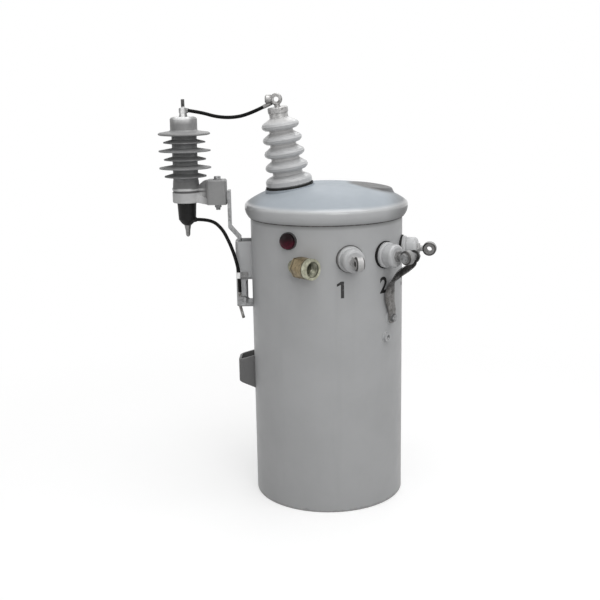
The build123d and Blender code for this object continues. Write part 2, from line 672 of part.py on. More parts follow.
for number, azimuth in enumerate(LV_AZ, start=1):
    save(f"lv_bushing_{number}_gasket", lv_gasket(azimuth))
    save(f"lv_bushing_{number}_porcelain", lv_porcelain(azimuth))
    save(f"lv_bushing_{number}_terminal", lv_terminal(azimuth))
save("ground_strap", ground_strap())
save("ground_pad", ground_pad())
save("ground_strap_bolt", strap_bolt())
save("strap_top_bolt", strap_top_bolt())
save("strap_top_nut", strap_top_nut())
save("ground_boss", ground_boss())
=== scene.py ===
import json
import math

import bmesh
import bpy
from mathutils import Matrix, Quaternion, Vector


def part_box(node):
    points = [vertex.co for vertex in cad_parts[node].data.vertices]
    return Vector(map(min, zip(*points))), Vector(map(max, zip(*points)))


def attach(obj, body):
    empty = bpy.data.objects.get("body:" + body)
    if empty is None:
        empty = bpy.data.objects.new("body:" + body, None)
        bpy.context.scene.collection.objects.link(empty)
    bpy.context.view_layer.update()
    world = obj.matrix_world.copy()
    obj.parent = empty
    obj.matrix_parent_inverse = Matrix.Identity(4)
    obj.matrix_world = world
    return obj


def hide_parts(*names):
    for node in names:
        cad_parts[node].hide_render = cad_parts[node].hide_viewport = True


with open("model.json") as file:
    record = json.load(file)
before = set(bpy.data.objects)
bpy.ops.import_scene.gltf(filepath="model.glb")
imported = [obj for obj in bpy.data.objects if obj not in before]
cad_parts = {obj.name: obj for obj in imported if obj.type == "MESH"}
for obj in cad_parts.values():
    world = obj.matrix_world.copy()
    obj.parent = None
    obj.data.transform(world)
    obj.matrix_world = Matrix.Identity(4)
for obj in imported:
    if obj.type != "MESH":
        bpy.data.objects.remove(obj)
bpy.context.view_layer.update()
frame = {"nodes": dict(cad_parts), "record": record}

# Looks of a pole mounted distribution transformer. Metres, +Z up, -Y is the front, -X the pole.
# The CAD nodes keep their shapes and get materials. The leads, the heads, nut and washers of three
# bolts, the threads, the welds, the woven strap, the wire's strands and the marks are made here.

# ---------------------------------------------------------------- places, from the frame

MM = 0.001
NODES = frame["nodes"]
MOUNTS = {m["name"]: m for m in frame["record"]["mounts"]}
UP = Vector((0, 0, 1))


def middle(node):
    low, high = (Vector(c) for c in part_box(node))
    return (low + high) / 2


TANK_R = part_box("tank_body")[1][0]
SEAM_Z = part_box("cover_gasket")[0][2]
UPPER_LUG_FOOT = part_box("upper_hanger_lug")[0][2]
HV_SEAT = middle("hv_bushing_gasket")
HV_AXIS = (Vector(MOUNTS["hv_eye"]["pos_m"]) - HV_SEAT).normalized()
ARRESTER_X, ARRESTER_Y = middle("arrester_housing").xy
LV_EYE_R = Vector(MOUNTS["lv_eye_1"]["pos_m"]).xy.length

# Places where a finish changes, set to match the photo.
# Heights of the painted shade lines on the two lugs.
UPPER_LUG_SHADE_Z = 0.5205
LOWER_LUG_SHADE_Z = 0.2545
ARRESTER_CLAMP_TOP = 0.911
# Middle of the painted shade on the spare pad.
SPARE_PAD_X, SPARE_PAD_Y = 0.104, 0.006


def outward(point):
    """Unit vector from the tank axis towards a point, level."""
    return Vector((point[0], point[1], 0)).normalized()


def round_tank(out):
    """Level unit vector along the wall, square to an outward one."""
    return Vector((-out.y, out.x, 0))


def on_wall(azimuth, z, r=TANK_R):
    """Point on the tank wall; azimuths run from the front towards +X."""
    return Vector((r * math.sin(azimuth), -r * math.cos(azimuth), z))


# ---------------------------------------------------------------- materials

class Tree:
    """One material's node tree, with a short method for each kind of node or pattern used."""

    def __init__(self, name):
        self.material = bpy.data.materials.new(name)
        self.material.use_nodes = True
        self.nodes = self.material.node_tree.nodes
        self.links = self.material.node_tree.links
        self.shader = self.nodes["Principled BSDF"]
        self.place = self.nodes.new("ShaderNodeTexCoord").outputs["Object"]

    def feed(self, socket, value):
        if isinstance(value, bpy.types.NodeSocket):
            self.links.new(value, socket)
        elif isinstance(value, tuple) and len(value) == 3 and socket.type == "RGBA":
            socket.default_value = (*value, 1.0)
        else:
            socket.default_value = value

    def set(self, **values):
        """Sets or links inputs of the main shader: Base_Color stands for Base Color."""
        for name, value in values.items():
            self.feed(self.shader.inputs[name.replace("_", " ")], value)

    def local(self, origin=(0, 0, 0), axis=None, stretch=(1, 1, 1)):
        """Places counted from an origin, with Z along the axis if one is given."""
        node = self.nodes.new("ShaderNodeMapping")
        node.vector_type = "TEXTURE"
        self.links.new(self.place, node.inputs["Vector"])
        node.inputs["Location"].default_value = origin
        if axis:
            node.inputs["Rotation"].default_value = Vector(axis).to_track_quat("Z", "Y").to_euler()
        node.inputs["Scale"].default_value = stretch
        return node.outputs["Vector"]

    def split(self, vector=None):
        node = self.nodes.new("ShaderNodeSeparateXYZ")
        self.links.new(vector or self.place, node.inputs[0])
        return node.outputs

    def normal_z(self):
        geometry = self.nodes.new("ShaderNodeNewGeometry")
        return self.split(geometry.outputs["Normal"])["Z"]

    def calc(self, operation, a, b=0.0):
        node = self.nodes.new("ShaderNodeMath")
        node.operation = operation
        self.feed(node.inputs[0], a)
        self.feed(node.inputs[1], b)
        return node.outputs[0]

    def span(self, value, low, high, to_low=0.0, to_high=1.0):
        """Maps low..high smoothly on to to_low..to_high."""
        node = self.nodes.new("ShaderNodeMapRange")
        node.interpolation_type = "SMOOTHSTEP"
        self.feed(node.inputs["Value"], value)
        for name, number in (("From Min", low), ("From Max", high), ("To Min", to_low), ("To Max", to_high)):
            node.inputs[name].default_value = number
        return node.outputs["Result"]

    def band(self, value, rise_from, rise_to, fall_from, fall_to):
        """1 between two soft edges."""
        return self.calc("MULTIPLY", self.span(value, rise_from, rise_to),
                         self.span(value, fall_from, fall_to, 1.0, 0.0))

    def away(self, value, centre):
        """How far the value is from a centre."""
        return self.calc("ABSOLUTE", self.calc("SUBTRACT", value, centre))

    def hypotenuse(self, a, b):
        return self.calc("SQRT", self.calc("ADD", self.calc("MULTIPLY", a, a), self.calc("MULTIPLY", b, b)))

    def blend(self, amount, a, b):
        node = self.nodes.new("ShaderNodeMix")
        node.data_type = "RGBA"
        self.feed(node.inputs["Factor"], amount)
        self.feed(node.inputs[6], a)
        self.feed(node.inputs[7], b)
        return node.outputs[2]

    def noise(self, scale, detail=3.0, grain=0.55, stretch=None):
        """Noise of about that many features a metre."""
        node = self.nodes.new("ShaderNodeTexNoise")
        self.links.new(self.local(stretch=stretch) if stretch else self.place, node.inputs["Vector"])
        node.inputs["Scale"].default_value = scale
        node.inputs["Detail"].default_value = detail
        node.inputs["Roughness"].default_value = grain
        return node.outputs["Fac"]

    def patchy(self, scale, low, high, to_low=0.0, to_high=1.0, detail=5.0, grain=0.65):
        """Noise whose low..high part is mapped as in span."""
        return self.span(self.noise(scale, detail, grain), low, high, to_low, to_high)

    def sheen(self, smooth, dull, scale, grain=0.55):
        """Roughness that wanders between two values."""
        return self.patchy(scale, 0.3, 0.7, smooth, dull, 4.0, grain)

    def ragged(self, value, scale, reach, grain=0.55):
        """The value pushed up by as much as reach, for an uneven edge."""
        return self.calc("ADD", value, self.calc("MULTIPLY", self.noise(scale, 4.0, grain), reach))

    def relief(self, scale, height, detail=3.0, grain=0.55, under=None):
        """Normals of a noise of that height in metres, on top of a coarser one."""
        node = self.nodes.new("ShaderNodeBump")
        self.links.new(self.noise(scale, detail, grain), node.inputs["Height"])
        node.inputs["Distance"].default_value = height
        if under:
            self.links.new(under, node.inputs["Normal"])
        return node.outputs["Normal"]

    def specked(self, color, speck):
        """Paint with fine specks of another colour."""
        return self.blend(self.patchy(420.0, 0.70, 0.78, 0.0, 0.3, 2.0, 0.5), color, speck)

    def orange_peel(self):
        return self.relief(1400.0, 0.00002, 2.0, 0.5, under=self.relief(260.0, 0.00012, 2.0, 0.5))

    def cast_skin(self, scale=520.0, fine_scale=2000.0):
        return self.relief(fine_scale, 0.00003, 2.0, under=self.relief(scale, 0.00012, 4.0, 0.6))

    def mottled(self, dark, light):
        """Two tones of a moulded polymer."""
        return self.blend(self.patchy(38.0, 0.3, 0.7, grain=0.6), dark, light)

    def moulded(self, color, rub, smooth, dull, height=0.00005):
        """Skin of a moulded polymer: fine grain and a few darker rubs."""
        rubs = self.patchy(210.0, 0.62, 0.8, 0.0, 0.4, 4.0, 0.7)
        self.set(Base_Color=self.blend(rubs, color, rub), Roughness=self.sheen(smooth, dull, 90.0))
        self.set(Normal=self.relief(950.0, height))


def grey(value, warm=0.0):
    """Linear grey, with warm above zero leaning to yellow and below zero to blue."""
    return (value * (1 + warm), value, value * (1 - warm))


def scaled(color, amount):
    return tuple(amount * c for c in color)


def tank_paint(name="tank_paint", base=grey(0.455, -0.012), scuffed_and_shaded_foot=False, shine=0.35, shade_lines=()):
    """Semi-gloss paint with clouding, run marks, specks and orange peel; a scuffed foot adds scuffs at the
    bottom edge and painted shade towards the bottom.

    The last argument lists painted shade lines, each with its height, reach and amount.
    """
    t = Tree(name)
    height = t.split()["Z"]
    clouds = t.patchy(7.0, 0.3, 0.7, grain=0.6)
    color = t.blend(clouds, scaled(base, 0.96), scaled(base, 1.03))
    runs = t.span(t.noise(22.0, 4.0, 0.65, stretch=(1, 1, 14)), 0.54, 0.8, 0.0, 0.18)
    color = t.blend(runs, color, scaled(base, 0.78))
    color = t.specked(color, scaled(base, 0.6))
    if scuffed_and_shaded_foot:
        scuffed = t.span(t.ragged(height, 60.0, 0.018, 0.7), 0.012, 0.0165, 0.4, 0.0)
        # Painted shade: the wall grows darker towards the bottom, where the light falls off towards the
        # floor.
        shaded_low = t.span(height, 0.0, 0.45, 0.11, 0.0)
        color = t.blend(scuffed, color, grey(0.2, 0.05))
        color = t.blend(shaded_low, color, grey(0.22, 0.03))
    # Painted shade: a dark line at each given height, where shade falls under the cover and along edges of
    # the lugs.
    for level, reach, amount in shade_lines:
        dirt_and_shade = t.span(t.away(height, level), reach * 0.1, reach, amount, 0.0)
        color = t.blend(dirt_and_shade, color, grey(0.1, 0.02))
    t.set(Base_Color=color, Roughness=t.sheen(0.38, 0.52, 35.0, 0.6))
    t.set(Normal=t.orange_peel(), Specular_IOR_Level=shine)
    return t.material


def cover_paint():
    """The tank's paint, with a painted bluish reflection on the dome, painted light on the paler rolled
    edge, and painted shade on the spare pad, at both ends and above the seam.
    """
    t = Tree("cover_paint")
    xyz = t.split()
    clouds = t.patchy(9.0, 0.3, 0.7, grain=0.6)
    # Painted reflection: the dome is bluer, as if it mirrored a bluish sky.
    dome = t.blend(clouds, grey(0.372, -0.09), grey(0.408, -0.085))
    # Painted light: the rolled edge is paler, as if lit from below by the floor.
    edge = t.blend(clouds, grey(0.50, -0.015), grey(0.54, -0.015))
    on_dome = t.span(xyz["Z"], 0.690, 0.700)
    color = t.specked(t.blend(on_dome, edge, dome), grey(0.26, -0.03))
    # Painted shade: a dark, ragged patch on the spare pad.
    across_pad = t.calc("MULTIPLY", t.calc("SUBTRACT", xyz["X"], SPARE_PAD_X), 1.2)
    along_pad = t.calc("SUBTRACT", xyz["Y"], SPARE_PAD_Y)
    from_pad = t.ragged(t.hypotenuse(across_pad, along_pad), 70.0, 0.008, 0.6)
    pad_shade = t.span(from_pad, 0.052, 0.080, 0.95, 0.0)
    color = t.blend(pad_shade, color, grey(0.135, 0.01))
    # Painted shade: darker towards both ends of the cover, where it turns away from the light.
    from_middle = t.calc("ADD", t.away(xyz["X"], -0.007), t.calc("MULTIPLY", clouds, 0.012))
    end_shade = t.span(from_middle, 0.135, 0.194, 0.0, 0.74)
    color = t.blend(end_shade, color, grey(0.17))
    # Painted shade: darker at the foot of the rolled edge, just above the seam.
    seam_shade = t.span(xyz["Z"], SEAM_Z, SEAM_Z + 0.012, 0.3, 0.0)
    color = t.blend(seam_shade, color, grey(0.12))
    rubbed = t.band(xyz["Z"], 0.684, 0.688, 0.6935, 0.7)
    t.set(Base_Color=color, Roughness=t.sheen(0.4, 0.52, 40.0, 0.6), Specular_IOR_Level=0.08)
    t.set(Normal=t.orange_peel(), Coat_Weight=rubbed, Coat_Roughness=0.13)
    return t.material


def porcelain(name, centre, axis, core_r, tip_r):
    """Glazed stoneware with painted light in the creases: paler near the axis than at the tips of the sheds.
    """
    t = Tree(name)
    xyz = t.split(t.local(centre, axis))
    # Painted light: the creases near the axis are paler than the tips, against the shade that falls in them.
    crease_light_to_tip = t.span(t.ragged(t.hypotenuse(xyz["X"], xyz["Y"]), 90.0, 0.004), core_r, tip_r)
    color = t.blend(crease_light_to_tip, grey(0.55, 0.005), grey(0.50, -0.01))
    clouds = t.patchy(18.0, 0.45, 0.75, 0.0, 0.35, grain=0.6)
    color = t.blend(clouds, color, grey(0.42))
    pinholes = t.patchy(900.0, 0.69, 0.75, 0.0, 0.3, 2.0, 0.55)
    color = t.blend(pinholes, color, grey(0.2, 0.05))
    t.set(Base_Color=color, Roughness=t.sheen(0.26, 0.38, 60.0), Specular_IOR_Level=0.3)
    t.set(Normal=t.relief(55.0, 0.0003, grain=0.5), Coat_Weight=0.12, Coat_Roughness=0.12)
    return t.material


def silicone_rubber():
    """Dark grey rubber with pale dust on the upper sides of the sheds."""
    t = Tree("silicone_rubber")
    mottled = t.noise(45.0, 5.0, 0.6)
    color = t.blend(t.span(mottled, 0.3, 0.7), grey(0.20, -0.01), grey(0.28, -0.01))
    dust = t.calc("MULTIPLY", t.span(t.normal_z(), 0.25, 0.95), t.patchy(80.0, 0.25, 0.75, 0.25, 0.7))
    t.set(Base_Color=t.blend(dust, color, grey(0.27)), Roughness=t.span(mottled, 0.3, 0.7, 0.5, 0.68))
    t.set(Normal=t.relief(700.0, 0.00004), Specular_IOR_Level=0.3)
    return t.material


def dark_trim():
    """Dark moulded ring of the signal light."""
    t = Tree("dark_trim")
    t.moulded(t.mottled(grey(0.035), grey(0.06)), grey(0.01925), 0.42, 0.6)
    return t.material


def arrester_cap_grey():
    """Grey moulding with a painted highlight on the upper half of its front, so it is darker lower down,
    where it meets the first shed.
    """
    t = Tree("arrester_cap_grey")
    xyz = t.split()
    height = t.ragged(xyz["Z"], 40.0, 0.004)
    # Painted highlight: the top of the front is made much paler, where light catches its upper edge.
    front = t.span(t.away(xyz["X"], ARRESTER_X), 0.012, 0.024, 1.0, 0.15)
    painted_highlight = t.calc("MULTIPLY", t.span(height, 0.874, 0.890), front)
    t.moulded(t.blend(painted_highlight, t.mottled(grey(0.21), grey(0.27)), grey(0.74)), grey(0.12), 0.4, 0.58)
    return t.material


def bracket_polymer():
    """One weathered moulding: grey block, light ring and dark cup, with painted shade in the groove between
    and a painted highlight on the front of the ledge.
    """
    t = Tree("bracket_polymer")
    xyz = t.split()
    block = t.mottled(grey(0.25), grey(0.30))
    ring = t.mottled(grey(0.50), grey(0.57))
    cup = t.mottled(grey(0.15), grey(0.19))
    in_cup = t.span(xyz["Z"], 0.7262, 0.7285)
    color = t.blend(in_cup, ring, cup)
    # Painted shade: a dark line in the groove.
    groove = t.calc("MULTIPLY", t.band(xyz["Z"], 0.7178, 0.7192, 0.7222, 0.7237), 0.9)
    color = t.blend(groove, color, grey(0.08))
    # Painted highlight: a pale band on the front of the ledge, fading to the sides.
    front = t.span(t.away(xyz["X"], ARRESTER_X), 0.010, 0.022, 0.8, 0.0)
    ledge = t.calc("MULTIPLY", t.band(xyz["Z"], 0.7228, 0.7242, 0.7284, 0.7302), front)
    color = t.blend(ledge, color, grey(0.72))
    on_block = t.span(xyz["X"], -0.289, -0.272)
    t.moulded(t.blend(on_block, color, block), grey(0.11, 0.01), 0.46, 0.64, 0.00006)
    t.set(Specular_IOR_Level=0.4)
    return t.material


def galvanised():
    """Zinc with spangle, dulled and streaked by weather."""
    t = Tree("galvanised")
    cells = t.nodes.new("ShaderNodeTexVoronoi")
    t.links.new(t.place, cells.inputs["Vector"])
    cells.inputs["Scale"].default_value = 190.0
    shade = t.nodes.new("ShaderNodeRGBToBW")
    t.links.new(cells.outputs["Color"], shade.inputs[0])
    spangle = shade.outputs[0]
    color = t.blend(t.span(spangle, 0.1, 0.9), grey(0.2, -0.01), grey(0.36, -0.01))
    dull = t.noise(55.0, 5.0, 0.7)
    color = t.blend(t.span(dull, 0.48, 0.75, 0.0, 0.6), color, grey(0.16, 0.02))
    t.set(Base_Color=color, Metallic=t.span(dull, 0.45, 0.75, 0.9, 0.55))
    rough = t.calc("ADD", t.span(spangle, 0.0, 1.0, 0.34, 0.5), t.span(dull, 0.4, 0.8, 0.0, 0.18))
    t.set(Roughness=rough, Normal=t.relief(600.0, 0.00006, 4.0))
    return t.material


def cast_metal(name, bright, dull, tarnish, grain=520.0, metallic=1.0):
    """Sand-cast metal: pitted skin, tarnish in patches, rubbed brighter elsewhere."""
    t = Tree(name)
    patches = t.noise(75.0, 5.0, 0.65)
    color = t.blend(t.span(patches, 0.32, 0.62), bright, dull)
    color = t.blend(t.patchy(150.0, 0.52, 0.68, 0.0, 0.85, grain=0.7), color, tarnish)
    t.set(Base_Color=color, Metallic=metallic, Roughness=t.span(patches, 0.3, 0.7, 0.3, 0.5))
    t.set(Normal=t.cast_skin(grain, grain * 4))
    return t.material


def fitting_brass():
    """Brown brass body with a greener, brighter mouth, a dull bore, and dirt between its turned steps."""
    t = Tree("fitting_brass")
    mouth = MOUNTS["fitting_mouth"]
    bore_r = 0.0175
    xyz = t.split(t.local(mouth["pos_m"], mouth["axis"]))
    along = xyz["Z"]
    wear = t.noise(75.0, 5.0, 0.65)
    patches = t.span(wear, 0.32, 0.62)
    body = t.blend(patches, (0.30, 0.24, 0.14), (0.19, 0.15, 0.09))
    lip = t.blend(patches, (0.56, 0.56, 0.43), (0.36, 0.36, 0.27))
    bore = t.blend(patches, (0.27, 0.27, 0.21), (0.16, 0.16, 0.12))
    on_lip = t.span(along, -0.0125, -0.0105)
    color = t.blend(on_lip, body, lip)
    for step, width in ((-0.0435, 0.003), (-0.0125, 0.0022)):
        dirt_and_shade = t.span(t.away(along, step), width * 0.3, width, 0.8, 0.0)
        color = t.blend(dirt_and_shade, color, (0.05, 0.045, 0.03))
    outside_bore = t.span(t.hypotenuse(xyz["X"], xyz["Y"]), bore_r - 0.0003, bore_r + 0.0003)
    color = t.blend(outside_bore, bore, color)
    tarnish = t.patchy(150.0, 0.54, 0.7, 0.0, 0.7, grain=0.7)
    color = t.blend(tarnish, color, (0.08, 0.075, 0.05))
    t.set(Base_Color=color, Metallic=0.7, Roughness=t.span(wear, 0.3, 0.7, 0.32, 0.52))
    t.set(Normal=t.cast_skin())
    return t.material


def worn_zinc(name, metallic, smooth, dull):
    """A tree for small zinc parts, with a function that mottles one tone with another."""
    t = Tree(name)
    patches = t.noise(110.0, 5.0, 0.65)
    t.set(Metallic=metallic, Roughness=t.span(patches, 0.3, 0.7, smooth, dull))
    t.set(Normal=t.relief(700.0, 0.00005))
    return t, lambda one, other: t.blend(t.span(patches, 0.3, 0.7), one, other)


def stud_zinc():
    """Zinc clamp, with a painted highlight down the middle of its front and painted shade to the sides,
    under a stud that has gone dark.
    """
    t, tone = worn_zinc("stud_zinc", 0.7, 0.34, 0.52)
    xyz = t.split()
    # Painted light: bright on a strip down the middle of the front, darker to the sides.
    face = t.span(t.away(xyz["X"], ARRESTER_X), 0.002, 0.0065)
    clamp = t.blend(face, tone(grey(0.55), grey(0.8)), tone(grey(0.2), grey(0.3)))
    stud = tone(grey(0.05), grey(0.12, 0.02))
    above = t.span(xyz["Z"], ARRESTER_CLAMP_TOP, ARRESTER_CLAMP_TOP + 0.002)
    t.set(Base_Color=t.blend(above, clamp, stud))
    return t.material


def clip_metal():
    """Zinc, bright on the ring and dark on the tab."""
    t, tone = worn_zinc("clip_metal", 0.8, 0.25, 0.42)
    tab = t.span(t.split()["X"], -0.1985, -0.196)
    t.set(Base_Color=t.blend(tab, tone(grey(0.6), grey(0.85)), tone(grey(0.17), grey(0.3))))
    return t.material


def eye_metal(name, centre, axis, face_light, rim_light):
    """Cast terminal whose eye has worn grey faces, a paler rim, and oxide round its bore and its edge; the
    two scales passed in make its faces and rim lighter or darker as painted light.
    """
    t = Tree(name)
    oxide = grey(0.06, 0.03)
    xyz = t.split(t.local(centre, axis))
    r = t.hypotenuse(xyz["X"], xyz["Y"])
    wear = t.noise(85.0, 5.0, 0.65)
    patches = t.span(wear, 0.32, 0.62)
    face = t.blend(patches, grey(0.34 * face_light, 0.01), grey(0.25 * face_light, 0.02))
    rim = t.blend(patches, grey(0.48 * rim_light), grey(0.37 * rim_light, 0.01))
    ragged = t.ragged(r, 200.0, 0.0008)
    at_edge = t.span(ragged, 0.0120, 0.0132)
    at_bore = t.span(ragged, 0.0066, 0.0074, 0.8, 0.0)
    on_rim = t.span(ragged, 0.0154, 0.0160)
    color = t.blend(at_bore, t.blend(at_edge, face, oxide), oxide)
    t.set(Base_Color=t.blend(on_rim, color, rim), Metallic=t.span(r, 0.0150, 0.0156, 0.9, 0.35))
    t.set(Roughness=t.span(wear, 0.3, 0.7, 0.34, 0.52), Normal=t.cast_skin())
    return t.material


def cable_jacket():
    t = Tree("cable_jacket")
    scuff = t.noise(130.0, 5.0, 0.65)
    t.set(Base_Color=t.blend(t.span(scuff, 0.45, 0.75), grey(0.003), grey(0.012, 0.02)))
    t.set(Roughness=t.span(scuff, 0.3, 0.7, 0.42, 0.62))
    t.set(Normal=t.relief(900.0, 0.00004, 2.0), Specular_IOR_Level=0.1)
    return t.material


def gasket_rubber(name="black_rubber", dark=0.006, light=0.02):
    t = Tree(name)
    mottled = t.noise(120.0, 5.0, 0.6)
    t.set(Base_Color=t.blend(t.span(mottled, 0.35, 0.7), grey(dark), grey(light, 0.02)))
    t.set(Roughness=t.span(mottled, 0.3, 0.7, 0.6, 0.8))
    t.set(Normal=t.relief(800.0, 0.00005), Specular_IOR_Level=0.2)
    return t.material


def moulded_black():
    t = Tree("moulded_black")
    mottled = t.noise(60.0, 5.0, 0.6)
    color = t.blend(t.span(mottled, 0.35, 0.7), grey(0.006), grey(0.013, 0.02))
    color = t.blend(t.patchy(400.0, 0.62, 0.74, 0.0, 0.3, 4.0, 0.7), color, grey(0.05, 0.02))
    t.set(Base_Color=color, Roughness=t.span(mottled, 0.3, 0.7, 0.42, 0.58))
    t.set(Normal=t.relief(700.0, 0.00004), Specular_IOR_Level=0.2)
    return t.material


def red_lens():
    """Deep red plastic: light that falls through the dome reaches only its lower half."""
    t = Tree("red_lens")
    lower_half = t.span(t.split()["Z"], 0.614, 0.637, 1.0, 0.0)
    lit = t.calc("MULTIPLY", lower_half, t.patchy(140.0, 0.3, 0.7, 0.6, 1.0, 4.0, 0.6))
    t.set(Base_Color=t.blend(lit, (0.007, 0.001, 0.002), (0.085, 0.003, 0.017)))
    t.set(Roughness=t.sheen(0.14, 0.26, 70.0), IOR=1.49, Specular_IOR_Level=0.14)
    t.set(Normal=t.relief(160.0, 0.0001))
    return t.material


def mark_paint():
    """Black paint, thin enough in places for the grey below to show."""
    t = Tree("mark_paint")
    thin = t.patchy(330.0, 0.58, 0.72, 0.0, 0.7, grain=0.7)
    t.set(Base_Color=t.blend(thin, grey(0.012), grey(0.22)))
    t.set(Roughness=t.span(thin, 0.0, 1.0, 0.45, 0.6), Normal=t.relief(1200.0, 0.00003, 2.0))
    return t.material


def tinned_braid():
    """Braid painted pale low down, where it lies flat, and dark higher up, where it is gathered up in shade.
    """
    t = Tree("tinned_braid")
    wear = t.noise(90.0, 5.0, 0.65)
    patches = t.span(wear, 0.35, 0.65)
    # Painted light and shade: a pale copy of the braid for the flat lower run and a dark copy for the upper
    # run.
    flat = t.blend(patches, grey(0.34, 0.02), grey(0.17, 0.04))
    bunched_in_shade = t.blend(patches, grey(0.11, 0.02), grey(0.045, 0.04))
    height = t.ragged(t.split()["Z"], 50.0, 0.02)
    t.set(Base_Color=t.blend(t.span(height, 0.500, 0.536), flat, bunched_in_shade), Metallic=0.7)
    t.set(Roughness=t.span(wear, 0.3, 0.7, 0.4, 0.62), Normal=t.relief(1500.0, 0.00005))
    return t.material


# ---------------------------------------------------------------- finishes of the CAD nodes

def finishes():
    """Every finish once, by a short name."""
    # Painted shade lines on the lugs: at a step of each lug and at the upper lug's foot.
    lug_shade_lines = ((UPPER_LUG_SHADE_Z, 0.0045, 0.65), (UPPER_LUG_FOOT, 0.005, 0.6))
    lower_lug_shade_lines = ((LOWER_LUG_SHADE_Z, 0.003, 0.4),)
    return {
        "paint": tank_paint(),
        # The tank wall gets a painted shade line under the cover, along the seam.
        "tank": tank_paint("tank_wall_paint", scuffed_and_shaded_foot=True, shade_lines=((SEAM_Z, 0.010, 0.42),)),
        "lug": tank_paint("lug_paint", shade_lines=lug_shade_lines),
        "dark_lug": tank_paint("dark_lug_paint", grey(0.15), shine=0.3, shade_lines=lower_lug_shade_lines),
        "lid": cover_paint(),
        "zinc": galvanised(),
        "rubber": gasket_rubber(),
        "dusty_rubber": gasket_rubber("dusty_rubber", 0.11, 0.2),
        "tin": cast_metal("tinned_bronze", grey(0.37, 0.01), grey(0.24, 0.02), grey(0.10, 0.05)),
        "cap_tin": cast_metal("cap_tin", grey(0.50, 0.01), grey(0.36, 0.01), grey(0.16, 0.03), metallic=0.7),
        "stud": cast_metal("dull_stud", grey(0.24, 0.01), grey(0.16, 0.02), grey(0.07, 0.05)),
        "wire": cast_metal("weathered_wire", grey(0.30, 0.02), grey(0.2, 0.04), grey(0.08, 0.1), 900.0),
        "clip": clip_metal(),
        "brass": fitting_brass(),
        "clamp": stud_zinc(),
        "cap_grey": arrester_cap_grey(),
        "silicone": silicone_rubber(),
        "bracket": bracket_polymer(),
        "black": moulded_black(),
        "trim": dark_trim(),
        "lens": red_lens(),
        "braid": tinned_braid(),
        "mark": mark_paint(),
        "jacket": cable_jacket(),
    }


NODES_OF_FINISH = {
    "tank": ["tank_body"],
    "lid": ["cover"],
    "lug": ["upper_hanger_lug"],
    "dark_lug": ["lower_hanger_lug"],
    "paint": ["ground_pad", "ground_boss"],
    "dusty_rubber": ["cover_gasket", "lv_bushing_1_gasket"],
    "rubber": ["hv_bushing_gasket", "lv_bushing_2_gasket", "lv_bushing_3_gasket"],
    "cap_tin": ["hv_bushing_cap"],
    "tin": ["hv_terminal"],
    "clamp": ["arrester_terminal"],
    "cap_grey": ["arrester_cap"],
    "silicone": ["arrester_housing"],
    "bracket": ["arrester_insulating_bracket"],
    "zinc": ["arrester_bracket_bolt", "arrester_mounting_bar", "ground_connector", "ground_strap_bolt",
             "strap_top_bolt", "strap_top_nut"],
    "stud": ["disconnector_stud"],
    "black": ["arrester_disconnector"],
    "clip": ["ground_lead_clip"],
    "wire": ["ground_wire_end"],
    "trim": ["signal_light_bezel"],
    "lens": ["signal_light_lens"],
    "brass": ["fitting_collar", "fitting_socket"],
    "braid": ["ground_strap"],
}

# Painted light: the same terminal finish, lighter for the faces and rims of the best lit eye and darker for
# the others, by bushing.
LV_EYE_LIGHTING = {1: (1.6, 1.0), 2: (0.85, 0.6), 3: (0.68, 0.75)}


def paint_node(name, finish):
    node = NODES[name]
    node.data.materials.clear()
    node.data.materials.append(finish)


def paint_cad(use):
    for finish, nodes in NODES_OF_FINISH.items():
        for name in nodes:
            paint_node(name, use[finish])
    glazed = porcelain("hv_porcelain", HV_SEAT, HV_AXIS, core_r=0.030, tip_r=0.044)
    paint_node("hv_bushing_porcelain", glazed)
    for i, tones in LV_EYE_LIGHTING.items():
        centre = middle(f"lv_bushing_{i}_porcelain")
        out = outward(centre)
        glazed = porcelain(f"lv_porcelain_{i}", centre, out, core_r=0.008, tip_r=0.02)
        paint_node(f"lv_bushing_{i}_porcelain", glazed)
        eye = out * LV_EYE_R + UP * centre.z
        paint_node(f"lv_bushing_{i}_terminal", eye_metal(f"lv_eye_metal_{i}", eye, round_tank(out), *tones))


# ---------------------------------------------------------------- shapes

def add_piece(name, verts, faces, finish, sharp=40):
    mesh = bpy.data.meshes.new(name)
    mesh.from_pydata([tuple(v) for v in verts], [], faces)
    mesh.validate()
    mesh.shade_smooth()
    mesh.set_sharp_from_angle(angle=math.radians(sharp))
    mesh.materials.append(finish)
    piece = bpy.data.objects.new(name, mesh)
    bpy.context.scene.collection.objects.link(piece)
    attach(piece, "root")
    return piece


def square_to(axis):
    """The axis and two directions square to it and to each other."""
    axis = Vector(axis).normalized()
    side = axis.orthogonal().normalized()
    return axis, side, axis.cross(side)


def circle(radius, sides):
    turns = [2 * math.pi * k / sides for k in range(sides)]
    return [(radius * math.cos(a), radius * math.sin(a)) for a in turns]


def joined_rings(rings, around, closed=False):
    """Quads between rings of the same number of points; closed joins the last ring to the first."""
    faces = []
    for i in range(rings if closed else rings - 1):
        a, b = i * around, (i + 1) % rings * around
        faces += [(a + k, a + (k + 1) % around, b + (k + 1) % around, b + k) for k in range(around)]
    return faces


def ribbon(steps, first=0):
    """Closed bar of four-cornered sections, counted from the first point."""
    faces = [tuple(first + v for v in face) for face in joined_rings(steps + 1, 4)]
    last = first + 4 * steps
    return faces + [(first + 3, first + 2, first + 1, first), (last, last + 1, last + 2, last + 3)]


def turned(faces):
    """The same faces seen from their other side."""
    return [face[::-1] for face in faces]


